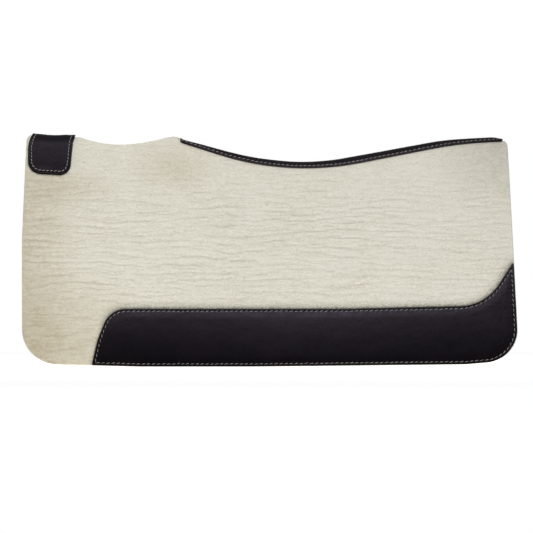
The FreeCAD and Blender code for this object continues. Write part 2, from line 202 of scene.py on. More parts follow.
def rounded(corners, closed=False):
    """Dense points along straight runs joined by arcs; a corner is x, z and its radius."""
    places = [np.array(corner[:2], float) for corner in corners]
    count = len(corners)
    arcs = []
    for index, corner in enumerate(corners):
        here = places[index]
        radius = corner[2] if len(corner) == 3 else 0
        if radius == 0 or (not closed and index in (0, count - 1)):
            arcs.append((here, here, np.array([here])))
            continue
        back = places[index - 1] - here
        ahead = places[(index + 1) % count] - here
        back /= np.linalg.norm(back)
        ahead /= np.linalg.norm(ahead)
        half = math.acos(max(-1.0, min(1.0, float(back @ ahead)))) / 2
        setback = radius / math.tan(half)
        middle = back + ahead
        centre = here + middle / np.linalg.norm(middle) * radius / math.sin(half)
        start, end = here + back * setback, here + ahead * setback
        first = math.atan2(*(start - centre)[::-1])
        turn = math.atan2(*(end - centre)[::-1]) - first
        turn = (turn + math.pi) % (2 * math.pi) - math.pi
        steps = max(3, int(abs(turn) * radius / STEP))
        angles = first + turn * np.arange(steps + 1) / steps
        arc = centre + radius * np.column_stack([np.cos(angles), np.sin(angles)])
        arcs.append((start, end, arc))
    pieces = []
    for index in range(count):
        pieces.append(arcs[index][2])
        if index + 1 < count or closed:
            pieces.append(straight(arcs[index][1], arcs[(index + 1) % count][0])[1:])
    return np.vstack(pieces)


STRIP_LOW, STRIP_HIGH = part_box("spine_leather")
FRONT_TOP_X = -386.3 * MM
REAR_TOP_X = 379.8 * MM
FRONT_TOP_Z = 368.1 * MM
REAR_TOP_Z = 361.2 * MM
FOOT_RISE_X = 312 * MM
FOOT_RISE_Z = 3.7 * MM
FOOT_REAR_X = 396.2 * MM
FOOT_REAR_Z = 11 * MM
TOP_CORNER = 10 * MM
HEM = 0.4 * MM
FRONT_CORNER = 57 * MM
REAR_CORNER = 53 * MM
RISE_BEND = 150 * MM


def felt_side():
    """Front edge, foot and rear edge of a felt half, from the ridge round to the ridge."""
    front = -392.2 * MM
    return rounded([
        (FRONT_TOP_X + 30 * MM, FRONT_TOP_Z + 6 * MM),
        (FRONT_TOP_X, FRONT_TOP_Z, TOP_CORNER),
        (front, 205 * MM, 500 * MM),
        (front + 1.1 * MM, 5 * MM, FRONT_CORNER),
        (-200 * MM, 0),
        (-30 * MM, 0),
        (FOOT_RISE_X, FOOT_RISE_Z, RISE_BEND),
        (FOOT_REAR_X, FOOT_REAR_Z, REAR_CORNER),
        (REAR_TOP_X, REAR_TOP_Z, 1.4 * TOP_CORNER),
        (REAR_TOP_X - 30 * MM, REAR_TOP_Z + 6 * MM),
    ])


def wear_side():
    """Closed outline of a wear leather."""
    tip_z = 167.3 * MM
    edge_x = REAR_TOP_X + (FOOT_REAR_X - REAR_TOP_X) * (1 - tip_z / REAR_TOP_Z)
    return rounded([
        (-280.8 * MM, HEM + 2.2 * MM, 1.5 * MM),
        (-200 * MM, HEM),
        (-30 * MM, HEM),
        (FOOT_RISE_X, FOOT_RISE_Z + HEM, RISE_BEND),
        (FOOT_REAR_X - HEM, FOOT_REAR_Z + HEM, REAR_CORNER - HEM),
        (edge_x - HEM, tip_z, 1.5 * MM),
        (342.4 * MM, 97.2 * MM, 75 * MM),
        (120 * MM, 92 * MM),
        (-252.2 * MM, 92 * MM, 38 * MM),
        (-272.3 * MM, 41.5 * MM, 120 * MM),
    ], closed=True)


def wither_side():
    """Wither patch, from the ridge down its front edge, along the bottom and up its rear edge."""
    front = -383.8 * MM
    over = FRONT_TOP_Z + 25 * MM
    return rounded([
        (front + 60 * MM, over),
        (front, over, 47 * MM),
        (front, 308.2 * MM, 21 * MM),
        (-317.2 * MM, 304.4 * MM, 18 * MM),
        (-312.3 * MM, 358 * MM, 10 * MM),
        (-299.5 * MM, over),
    ])


def strip_side():
    """Topline strip, from the ridge at its front tip along the lower edge to its rear end."""
    top = FRONT_TOP_Z + 30 * MM
    rear = STRIP_HIGH.x + 5 * MM
    return rounded([
        (STRIP_LOW.x, top),
        (STRIP_LOW.x, 358.8 * MM, 5 * MM),
        (31 * MM, 303.0 * MM, 457 * MM),
        (301 * MM, 356.0 * MM, 585 * MM),
        (rear, 360.6 * MM, 7 * MM),
        (rear, top),
    ])


def below_ridge(points, offset=0.0):
    """The unrolled part of a side line under the ridge, with its two ends put on the ridge."""
    drop = ridge_height(points[:, 0]) + offset - points[:, 1]
    under = np.flatnonzero(drop > 0)
    places = unroll(points[under[0]:under[-1] + 1], offset)
    first, last = places[0].copy(), places[-1].copy()
    first[1] = last[1] = 0
    return np.vstack([first, places, last])


def vent_edge():
    """The vent's near rim, from its rear end to its front end, by its drop below the ridge."""
    middle, front_end, rear_end = -240 * MM, -309.5 * MM, -164 * MM
    deepest = 13.3 * MM
    rear_fullness, front_fullness = 1.7, 2.1
    share = np.sin(np.linspace(math.pi / 2, -math.pi / 2, 400))
    reach = np.where(share > 0, rear_end - middle, middle - front_end)
    power = np.where(share > 0, rear_fullness, front_fullness)
    drop = deepest * (1 - np.abs(share) ** power)
    return np.column_stack([middle + share * reach, np.interp(drop, -TABLE_UP, TABLE_S)])


# ---- Flat sheets of triangles in (x, s) ----


def resample(points, spacing):
    """Points at an even spacing along a line, both ends kept."""
    steps = np.r_[0, np.cumsum(np.linalg.norm(np.diff(points, axis=0), axis=1))]
    count = max(2, int(round(steps[-1] / spacing)) + 1)
    at = np.linspace(0, steps[-1], count)
    return np.column_stack([np.interp(at, steps, points[:, 0]), np.interp(at, steps, points[:, 1])])


# A point moved inwards is dropped where it ends up nearer to the edge than this share of its move;
# the even grid starts this share of its step inside the last ring.
FOLD_SHARE = 0.985
RING_SHARE = 0.96
GRID_MARGIN = 0.6


class Loop:
    """Closed outline on the skin, made of runs; a run is a cut edge, or a line on the ridge."""

    def __init__(self, runs, spacing):
        points, cut = [], []
        for line, is_cut in runs:
            even = resample(line, spacing)[:-1]
            points.append(even)
            cut.append(np.full(len(even), is_cut))
        self.points = np.vstack(points)
        self.cut = np.concatenate(cut)
        x, s = self.points.T
        area = np.sum(x * np.roll(s, -1) - np.roll(x, -1) * s)
        along = np.roll(self.points, -1, axis=0) - np.roll(self.points, 1, axis=0)
        along /= np.linalg.norm(along, axis=1)[:, None]
        self.inward = np.column_stack([-along[:, 1], along[:, 0]]) * np.sign(area)
        self.trees = {True: self.search_tree(self.cut), False: self.search_tree(self.cut | True)}

    def search_tree(self, chosen, parts=5):
        """Finds the nearest of the points that split the chosen edges into equal parts."""
        first, last = self.points[chosen], np.roll(self.points, -1, axis=0)[chosen]
        share = np.arange(parts)[:, None] / parts
        places = (first[:, None] + (last - first)[:, None] * share).reshape(-1, 2)
        tree = KDTree(len(places))
        for index, (x, s) in enumerate(places):
            tree.insert((x, s, 0), index // parts)
        tree.balance()
        return tree

    def distance(self, places, only_cut=True):
        """Distance from each place to the outline's cut edges, or to all of it."""
        tree = self.trees[only_cut]
        return np.array([tree.find((x, s, 0))[2] for x, s in places])

    def run(self, places):
        """How far along the cut edges the nearest part of the outline lies."""
        steps = np.linalg.norm(np.roll(self.points, -1, axis=0) - self.points, axis=1)[self.cut]
        along = np.r_[0, np.cumsum(steps)[:-1]]
        return along[[self.trees[True].find((x, s, 0))[1] for x, s in places]]

    def contains(self, places):
        """Whether each place lies inside the outline."""
        low, high = self.points.min(0), self.points.max(0)
        boxed = np.flatnonzero(((places > low) & (places < high)).all(1))
        ax, ay = self.points.T
        bx, by = np.roll(self.points, -1, axis=0).T
        rise = np.where(by == ay, 1, by - ay)
        inside = np.zeros(len(places), bool)
        for chosen in np.array_split(boxed, len(boxed) // 4000 + 1):
            px, ps = places[chosen, 0:1], places[chosen, 1:2]
            spans = (ay > ps) != (by > ps)
            cross = px < (bx - ax) * (ps - ay) / rise + ax
            inside[chosen] = (spans & cross).sum(1) % 2 == 1
        return inside

    def inset(self, depth):
        """The line that runs inside the cut edges at a depth, in order, without its folds."""
        moved = self.points + self.inward * depth
        keep = self.cut & (self.distance(moved) > depth * FOLD_SHARE)
        start = int(np.argmin(self.cut)) if not self.cut.all() else 0
        order = np.r_[start:len(moved), 0:start]
        return moved[order][keep[order]]


def fill(loop, rings, step_x, step_s):
    """Triangles inside a loop: rings that follow its edge, then an even staggered grid."""
    points = [loop.points]
    for depth in rings:
        moved = loop.points + loop.inward * depth
        far = loop.distance(moved, only_cut=False) > depth * RING_SHARE
        points.append(moved[far])
    low, high = loop.points.min(0), loop.points.max(0)
    xs = np.arange(low[0], high[0], step_x)
    rows = np.arange(low[1] + step_s / 2, high[1], step_s)
    grid_x, grid_s = np.meshgrid(xs, rows)
    grid_x[1::2] += step_x / 2
    grid = np.column_stack([grid_x.ravel(), grid_s.ravel()])
    grid = grid[loop.contains(grid)]
    margin = rings[-1] + GRID_MARGIN * min(step_x, step_s)
    points.append(grid[loop.distance(grid, only_cut=False) > margin])
    places = np.vstack(points)
    count = len(loop.points)
    edges = [(index, (index + 1) % count) for index in range(count)]
    result = delaunay_2d_cdt([Vector(p) for p in places / MM], edges, [], 1, 1e-7)
    source = [ids[0] for ids in result[3]]
    faces = [[source[corner] for corner in face] for face in result[2]]
    return places, np.array(faces)


def rim_drop(distance, radius):
    """How far a rounded rim falls below its face at a distance from the edge."""
    short = np.clip(radius - distance, 0, radius)
    return radius - np.sqrt(np.maximum(radius ** 2 - short ** 2, 0))


def closed_slab(name, loop, top, bottom, side, levels, bulge):
    """A solid layer: a top sheet, a bottom sheet and the wall that joins their shared outline.

    top and bottom are (places, faces, offsets). The wall bulges a little on cut edges."""
    count = len(loop.points)
    top_places, top_faces, top_offset = top
    low_places, low_faces, low_offset = bottom
    blocks = [skin(*top_places.T, top_offset, side), skin(*low_places.T, low_offset, side)]
    start_low = len(top_places)
    faces = [top_faces, low_faces + start_low]
    rows = [np.arange(count)]
    base = start_low + len(low_places)
    for level in range(1, levels):
        share = level / levels
        push = bulge * math.sin(math.pi * share) * loop.cut
        line = loop.points - loop.inward * push[:, None]
        offset = top_offset[:count] * (1 - share) + low_offset[:count] * share
        blocks.append(skin(*line.T, offset, side))
        rows.append(base + np.arange(count))
        base += count
    rows.append(start_low + np.arange(count))
    for upper, lower in zip(rows[:-1], rows[1:]):
        faces.append(np.column_stack([upper, lower, np.roll(lower, -1), np.roll(upper, -1)]))
    return build_mesh(name, np.vstack(blocks), faces)


def build_mesh(name, points, face_sets):
    """A smooth shaded mesh object from points and arrays of faces, and which points it uses."""
    used = np.zeros(len(points), bool)
    for block in face_sets:
        used[block.ravel()] = True
    renumber = np.cumsum(used) - 1
    faces = [face for block in face_sets for face in renumber[block].tolist()]
    mesh = bpy.data.meshes.new(name)
    mesh.from_pydata(points[used].tolist(), [], faces)
    shell = bmesh.new()
    shell.from_mesh(mesh)
    bmesh.ops.recalc_face_normals(shell, faces=shell.faces)
    shell.to_mesh(mesh)
    shell.free()
    mesh.polygons.foreach_set("use_smooth", [True] * len(mesh.polygons))
    mesh.update()
    obj = bpy.data.objects.new(name, mesh)
    bpy.context.scene.collection.objects.link(obj)
    return obj, used


# ---- Noise, seeded, in the skin's plane ----

LATTICE = 256


def noise(x, y, seed):
    """Smooth gradient noise, about -0.7 to 0.7, one cell wide per unit."""
    angle = np.random.default_rng(seed).random((LATTICE, LATTICE)) * 2 * math.pi
    left, low = np.floor(x).astype(int), np.floor(y).astype(int)
    fx, fy = x - left, y - low

    def corner(dx, dy):
        turn = angle[(left + dx) % LATTICE, (low + dy) % LATTICE]
        return np.cos(turn) * (fx - dx) + np.sin(turn) * (fy - dy)

    ease_x = fx ** 3 * (fx * (fx * 6 - 15) + 10)
    ease_y = fy ** 3 * (fy * (fy * 6 - 15) + 10)
    bottom = corner(0, 0) * (1 - ease_x) + corner(1, 0) * ease_x
    top = corner(0, 1) * (1 - ease_x) + corner(1, 1) * ease_x
    return bottom * (1 - ease_y) + top * ease_y


def swell(x, s, layers, seed):
    """Layers of noise added up: each has its height, reach along and down, in mm, and seed step."""
    x, s = x / MM, s / MM
    return sum(height * MM * noise(x / along, s / down, seed + step)
               for height, along, down, step in layers)


# ---- Outlines on the skin ----


FELT_SPACING = 3 * MM
LEATHER_SPACING = 1.3 * MM
# Offset of the layer whose side view gives a leather's outline.
LEATHER_FACE = 2.0 * MM


def felt_loop():
    """A felt half: its cut edge and vent rim, joined by two stretches of the ridge."""
    edge = below_ridge(felt_side())
    vent = vent_edge()
    rear = np.array([edge[-1], vent[0]])
    front = np.array([vent[-1], edge[0]])
    return Loop([(edge, True), (rear, False), (vent, True), (front, False)], FELT_SPACING)


def folded_loop(side_line):
    """One side of a folded leather: its cut edge, and the way back along the ridge."""
    edge = below_ridge(side_line, LEATHER_FACE)
    return Loop([(edge, True), (edge[[-1, 0]], False)], LEATHER_SPACING)


FELT_LOOP = felt_loop()
WEAR_LINE = unroll(wear_side(), LEATHER_FACE)
WEAR_LOOP = Loop([(np.vstack([WEAR_LINE, WEAR_LINE[:1]]), True)], LEATHER_SPACING)
WITHER_LOOP = folded_loop(wither_side())
STRIP_LOOP = folded_loop(strip_side())

# Depths of the rings of points along a leather's edge, on its outer and inner sheets, and the
# steps of the even grids inside them.
LEATHER_RINGS = [depth * MM for depth in (0.12, 0.35, 0.7, 1.2, 1.9, 2.7, 3.4, 4.1, 4.8, 5.6,
                                          6.8, 8.6)]
LEATHER_GRID = (3.2 * MM, 2.6 * MM)
LINING_RINGS = [0.3 * MM, 1.6 * MM]
LINING_GRID = (7 * MM, 6 * MM)


class Hide:
    """A leather as both sides share it: outline, seam, gap to the felt, and its two sheets.

    The seam has a distance from the edge, a stitch pitch, a stitch length and a thread radius."""

    def __init__(self, loop, gap, seam_depth, pitch, stitch, thread):
        self.loop = loop
        self.gap = gap
        self.seam_depth = seam_depth
        self.pitch = pitch
        self.stitch = stitch
        self.thread = thread
        self.top = fill(loop, LEATHER_RINGS, *LEATHER_GRID)
        self.low = fill(loop, LINING_RINGS, *LINING_GRID)
        self.depths = [loop.distance(places) for places, _ in (self.top, self.low)]
        self.runs = [loop.run(places) for places, _ in (self.top, self.low)]


FLANK_GAP = 0.05 * MM
RIDGE_GAP = 0.3 * MM
WEAR = Hide(WEAR_LOOP, FLANK_GAP, 4.1 * MM, 8.0 * MM, 5.6 * MM, 0.38 * MM)
WITHER = Hide(WITHER_LOOP, RIDGE_GAP, 5.5 * MM, 6.3 * MM, 4.6 * MM, 0.52 * MM)
STRIP = Hide(STRIP_LOOP, RIDGE_GAP, 2.7 * MM, 7.0 * MM, 4.9 * MM, 0.40 * MM)
HIDES = (WEAR, WITHER, STRIP)

# ---- Felt halves ----

FELT_RIM = 1.7 * MM
VENT_REACH = 32 * MM
SINK = 0.7 * MM
SINK_REACH = 12 * MM
UNDER_LEATHER = 0.4 * MM
EDGE_PRESS = 0.95 * MM
EDGE_REACH = 4 * MM

# Creases: their depth on both faces, and sets of them by pitch, width, slope, share and seed step.
CREASE_DEPTH = 1.5 * MM
BACK_CREASE_DEPTH = 0.6 * MM
CREASE_SETS = [(12.0 * MM, 1.3 * MM, 0.0, 0.60, 0),
               (8.1 * MM, 1.05 * MM, 0.2, 0.42, 7),
               (5.3 * MM, 0.95 * MM, -0.3, 0.28, 17)]
CREASE_DRIFT = 1.3
CREASE_WAVES = [(4.0, 30, 18, 1), (1.0, 8, 7, 4)]
# The creases' two flanks, below and above a line, and the line itself, as shares of the width.
STEEP_FLANK, LONG_FLANK, LINE_WIDTH = 0.8, 2.6, 0.9
FELT_SWELL = [(0.35, 130, 80, 4), (0.20, 9, 4.5, 5)]
BOBBIN_GROOVE = 1.1 * MM
BOBBIN_REACH = 2.2 * MM

# Rings and grids of the felt's outer and inner faces.
FELT_RINGS = [0.5 * MM, 1.2 * MM, 2.2 * MM, 3.4 * MM]
FELT_GRID = (4.4 * MM, 1.05 * MM)
BACK_RINGS = [0.8 * MM, 2.4 * MM]
BACK_GRID = (7 * MM, 4.5 * MM)
# Radii of the vent's rim and of the edge where the halves meet; the cut wall's levels and bulge.
VENT_RIM = 0.8 * MM
BUTT_RIM = 1.2 * MM
FELT_LEVELS = 6
FELT_BULGE = 0.35 * MM
FELT_SEEDS = {LEFT: 11, RIGHT: 57}


def sink(depth, seam_depth):
    """How far a leather's sewn margin is pulled down into the felt."""
    return SINK * (1 - smooth(seam_depth, seam_depth + SINK_REACH, depth))


def crease_lines(x, s, pitch, width, seed):
    """Wavy lines that run along the pad and break off here and there: 1 in a line, 0 between.

    Gives the form, steep on a line's lower side and running out gently above it, and the line."""
    row = s / pitch + CREASE_DRIFT * noise(x / (120 * MM), s / (60 * MM), seed)
    row += swell(x, s, CREASE_WAVES, seed) / pitch
    line = np.round(row)
    gap = (row - line) * pitch
    present = smooth(-0.36, 0.12, noise(x / (52 * MM), line * 0.73, seed + 2))
    thickness = width * (1 + 0.5 * noise(x / (13 * MM), line * 0.61, seed + 3))
    form = np.exp(-(gap / (thickness * np.where(gap > 0, STEEP_FLANK, LONG_FLANK))) ** 2)
    line = np.exp(-(gap / (thickness * LINE_WIDTH)) ** 2)
    return present * np.array([form, line])


def crease(x, s, seed):
    """0 to 1: how deep in the creases a place of the felt's face lies, and how near their lines.

    Creases run level, and are deepest over the middle of the flank."""
    down = FRONT_TOP_Z - skin(x, s, 0.0, LEFT)[:, 2]
    lines = sum(share * crease_lines(x + slope * down, down, pitch, width, seed + step)
                for pitch, width, slope, share, step in CREASE_SETS)
    low_fade = 1 - 0.35 * smooth(290 * MM, 345 * MM, down)
    band = 0.40 + 0.60 * smooth(50 * MM, 120 * MM, down) * low_fade
    patch = 0.6 + 0.4 * smooth(-0.3, 0.3, noise(x / (110 * MM), down / (60 * MM), seed + 9))
    rearward = 1 - 0.25 * smooth(50 * MM, 300 * MM, x)
    return band * patch * rearward * lines


def leather_gaps(places):
    """For every leather: distance from each place to its edge, and whether it lies under it."""
    return [(hide, hide.loop.distance(places), hide.loop.contains(places)) for hide in HIDES]


def felt_face(places, gaps, seed):
    """Outer face: creases, a slow swell, and the margins that the leathers press down.

    Returns the offsets and, for the material, the crease and how near the wear leather is; the
    shade beside that leather reaches further along its top edge."""
    x, s = places.T
    form, valley = crease(x, s, seed)
    offset = swell(x, s, FELT_SWELL, seed) - CREASE_DEPTH * form
    near = np.zeros(len(places))
    for hide, gap, inside in gaps:
        pressed = EDGE_PRESS * np.exp(-gap / EDGE_REACH)
        under = -sink(gap, hide.seam_depth) - UNDER_LEATHER
        offset = np.where(inside, under, offset - pressed)
        if hide is WEAR:
            height = skin(x, s, 0.0, LEFT)[:, 2]
            reach = (1.5 + 5.0 * smooth(50 * MM, 88 * MM, height)) * MM
            near = np.where(inside, 1.0, np.exp(-gap / reach))
    return offset, valley, near


def felt_back(places, gaps, seed):
    """Inner face: shallower creases, and grooves under the bobbin threads."""
    x, s = places.T
    form, valley = crease(x, s, seed + 40)
    offset = -FELT + BACK_CREASE_DEPTH * form
    for hide, gap, inside in gaps:
        row = np.where(inside, gap - hide.seam_depth, 1.0)
        offset = offset + BOBBIN_GROOVE * np.exp(-(row / BOBBIN_REACH) ** 2)
    return offset, valley


def make_felt():
    """The two felt halves share their triangles; each has its own creases."""
    loop = FELT_LOOP
    top_places, top_faces = fill(loop, FELT_RINGS, *FELT_GRID)
    low_places, low_faces = fill(loop, BACK_RINGS, *BACK_GRID)
    top_edge = loop.distance(top_places)
    low_edge = loop.distance(low_places)
    top_gaps = leather_gaps(top_places)
    low_gaps = leather_gaps(low_places)
    rim = np.where(top_places[:, 1] < VENT_REACH, VENT_RIM, FELT_RIM)
    rounding = rim_drop(top_edge, rim) + rim_drop(top_places[:, 1], BUTT_RIM)
    made = {}
    for side, word in SIDES.items():
        offset, valley, near = felt_face(top_places, top_gaps, FELT_SEEDS[side])
        back, back_valley = felt_back(low_places, low_gaps, FELT_SEEDS[side])
        top = (top_places, top_faces, offset - rounding)
        low = (low_places, low_faces, back + rim_drop(low_edge, FELT_RIM))
        obj, used = closed_slab(f"{word}_felt", loop, top, low, side, FELT_LEVELS, FELT_BULGE)
        rest = len(used) - len(top_places) - len(low_places)
        paint(obj, "crease", np.r_[valley, back_valley, np.zeros(rest)][used])
        paint(obj, "near_leather", np.r_[near, np.zeros(len(low_places) + rest)][used])
        cut = np.r_[np.exp(-top_edge / FELT_RIM), np.exp(-low_edge / FELT_RIM), np.ones(rest)]
        paint(obj, "cut_edge", cut[used])
        made[side] = obj
    return made


def paint(obj, name, values):
    """A value for every point of a mesh, which its material reads."""
    layer = obj.data.attributes.new(name, "FLOAT", "POINT")
    layer.data.foreach_set("value", np.asarray(values, np.float32))


# ---- Leathers ----

LEATHER_RIM = 0.9 * MM
LEATHER_LEVELS = 3
LEATHER_BULGE = 0.12 * MM
# How far the burnished edge's colour reaches in.
BURNISHED = 0.8 * MM
# Height and reach of the stitch groove, of the swell outside it, and of the stitches' puckers.
GROOVE = (0.42 * MM, 1.0 * MM)
MARGIN_SWELL = (0.12 * MM, 1.3 * MM)
PUCKER = (0.10 * MM, 5.5 * MM)
UNEVEN = [(0.10, 4.6, 4.2, 2)]
LEATHER_SWELL = [(0.30, 58, 37, 0), (0.14, 19, 15, 1)]
SWELL_START = 10 * MM


def leather_form(hide, sheet, seed):
    """How far a leather lies from its plain layer: margins drawn in, stitch groove, swell, puckers.

    Sheet 0 is its outer sheet and sheet 1 its inner one."""
    x, s = (hide.top, hide.low)[sheet][0].T
    depth = hide.depths[sheet]
    inward = depth - hide.seam_depth
    offset = hide.gap - sink(depth, hide.seam_depth)
    offset -= GROOVE[0] * np.exp(-(inward / GROOVE[1]) ** 2)
    offset += MARGIN_SWELL[0] * np.exp(-((depth - hide.seam_depth / 2) / MARGIN_SWELL[1]) ** 2)
    fade = np.exp(-np.maximum(inward, 0) / PUCKER[1]) * smooth(0, hide.seam_depth, depth)
    pull = np.cos(2 * math.pi * hide.runs[sheet] / hide.pitch)
    offset += fade * (PUCKER[0] * pull + swell(x, s, UNEVEN, seed))
    return offset + smooth(0, SWELL_START, inward) * swell(x, s, LEATHER_SWELL, seed)


def make_leather(name, hide, side, seed):
    """One leather piece, or one side of a folded one."""
    depth = hide.depths[0]
    top = leather_form(hide, 0, seed) + LEATHER - rim_drop(depth, LEATHER_RIM)
    low = leather_form(hide, 1, seed)
    obj, used = closed_slab(name, hide.loop, (*hide.top, top), (*hide.low, low), side,
                            LEATHER_LEVELS, LEATHER_BULGE)
    rest = len(used) - len(depth)
    paint(obj, "edge", np.r_[np.exp(-depth / BURNISHED), np.ones(rest)][used])
    return obj


# ---- Threads ----

PLY_SIDES = 10
PLY_LOBE = 0.16

# A stitch: points along it, arch over the leather, dive into its holes, slant and its chance part,
# taper of its ends, turns of the plies per ring, and how deep each row lies.
STITCH_POINTS = 11
STITCH_ARCH = 0.42 * MM
STITCH_DIVE = 0.75 * MM
STITCH_SLANT = 0.62 * MM
STITCH_CHANCE = 0.12
STITCH_TAPER = 0.28
STITCH_TWIST = 0.085
NEEDLE_SINK = 0.14 * MM
BOBBIN_SINK = 0.8 * MM

# The centre seam: pitch, arch, dive into its holes, thread radius and twist; then each row's reach
# to both sides and its offset.
SEAM_PITCH = 4.5 * MM
SEAM_ARCH = 0.3 * MM
SEAM_DIVE = 0.5 * MM
SEAM_THREAD = 0.42 * MM
SEAM_TWIST = 0.11
SEAM_OUTER = (3.2 * MM, -0.2 * MM)
SEAM_INNER = (9 * MM, -FELT - 0.2 * MM)
SEAM_END = 10 * MM


def signed_skin(x, s, offset, side):
    """Skin points where a negative s lies on the far side of the ridge."""
    near = skin(x, np.abs(s), offset, side)
    near[:, 1] *= np.where(np.asarray(s) < 0, -1, 1)
    return near


def add_thread(blocks, faces, x, s, level, side, radius, twist, turned=1):
    """Adds one two-ply thread through skin places at their levels; twist is in turns per ring."""
    points = signed_skin(x, s, level, side)
    normals = turned * (signed_skin(x, s, level + 1 * MM, side) - points)
    normals /= np.linalg.norm(normals, axis=1)[:, None]
    along = np.gradient(points, axis=0)
    along /= np.linalg.norm(along, axis=1)[:, None]
    across = np.cross(along, normals)
    across /= np.linalg.norm(across, axis=1)[:, None]
    raised = np.cross(across, along)
    turn = np.arange(PLY_SIDES) * 2 * math.pi / PLY_SIDES
    rings = []
    for index, point in enumerate(points):
        lobes = 1 + PLY_LOBE * np.cos(2 * (turn - twist * index * 2 * math.pi))
        size = radius[index] * lobes
        ring = point + np.outer(size * np.cos(turn), across[index])
        rings.append(ring + np.outer(size * np.sin(turn), raised[index]))
    add_tube(blocks, faces, np.array(rings))


def add_tube(blocks, faces, rings):
    """Adds one capped tube to the lists that make a thread's mesh."""
    base = sum(len(block) for block in blocks)
    count = len(rings)
    blocks.append(rings.reshape(-1, 3))
    column = np.arange(PLY_SIDES)
    for row in range(count - 1):
        lower = base + row * PLY_SIDES + column
        upper = lower + PLY_SIDES
        faces.append(np.column_stack([lower, np.roll(lower, -1), np.roll(upper, -1), upper]))
    for row, flip in ((0, True), (count - 1, False)):
        ring = base + row * PLY_SIDES + column
        fan = np.column_stack([np.full(PLY_SIDES - 2, ring[0]), ring[1:-1], ring[2:]])
        faces.append(fan[:, ::-1] if flip else fan)


def make_stitches(name, hide, offset, side, face=1):
    """A row of single slanted stitches that arch out of one hole and dive into the next.

    The face is 1 for the pad's outer face and -1 for its inner one."""
    path = hide.loop.inset(hide.seam_depth)
    if hide.loop.cut.all():
        path = np.vstack([path, path[:1]])
    steps = np.r_[0, np.cumsum(np.linalg.norm(np.diff(path, axis=0), axis=1))]
    count = int(round(steps[-1] / hide.pitch))
    exact = steps[-1] / count
    span = np.linspace(-1, 1, STITCH_POINTS)
    random = np.random.default_rng(len(name) * 31 + count)
    blocks, faces = [], []
    for index in range(count):
        jitter = random.normal(0, STITCH_CHANCE, 3) * MM
        at = (index + 0.5) * exact + span * hide.stitch / 2
        x = np.interp(at, steps, path[:, 0])
        s = np.interp(at, steps, path[:, 1])
        heading = np.array([x[-1] - x[0], s[-1] - s[0]])
        heading /= np.linalg.norm(heading)
        slant = STITCH_SLANT * span + jitter[0]
        x = x + heading[1] * slant
        s = s - heading[0] * slant
        rise = STITCH_ARCH * (1 - span ** 2) - STITCH_DIVE * span ** 8
        radius = hide.thread * (1 - STITCH_TAPER * np.abs(span) ** 3)
        add_thread(blocks, faces, x, s, offset + face * rise, side, radius, STITCH_TWIST, face)
    return build_mesh(name, np.vstack(blocks), faces)[0]


def make_zigzag(name, stretches, reach, offset):
    """One running zigzag across the seam plane for each stretch of the ridge."""
    blocks, faces = [], []
    for start, end in stretches:
        count = int((end - start) / SEAM_PITCH) * 2
        at = np.linspace(0, count, count * 4 + 1)
        x = start + at / count * (end - start)
        s = reach * (1 - 2 * np.abs(at % 2 - 1))
        dive = SEAM_DIVE * np.abs(1 - 2 * np.abs(at % 1 - 0.5)) ** 6
        out_or_in = 1 if offset > -FELT / 2 else -1
        level = offset + out_or_in * (SEAM_ARCH - dive)
        radius = np.full(len(x), SEAM_THREAD)
        add_thread(blocks, faces, x, s, level, LEFT, radius, SEAM_TWIST)
    return build_mesh(name, np.vstack(blocks), faces)[0]


# ---- Materials ----


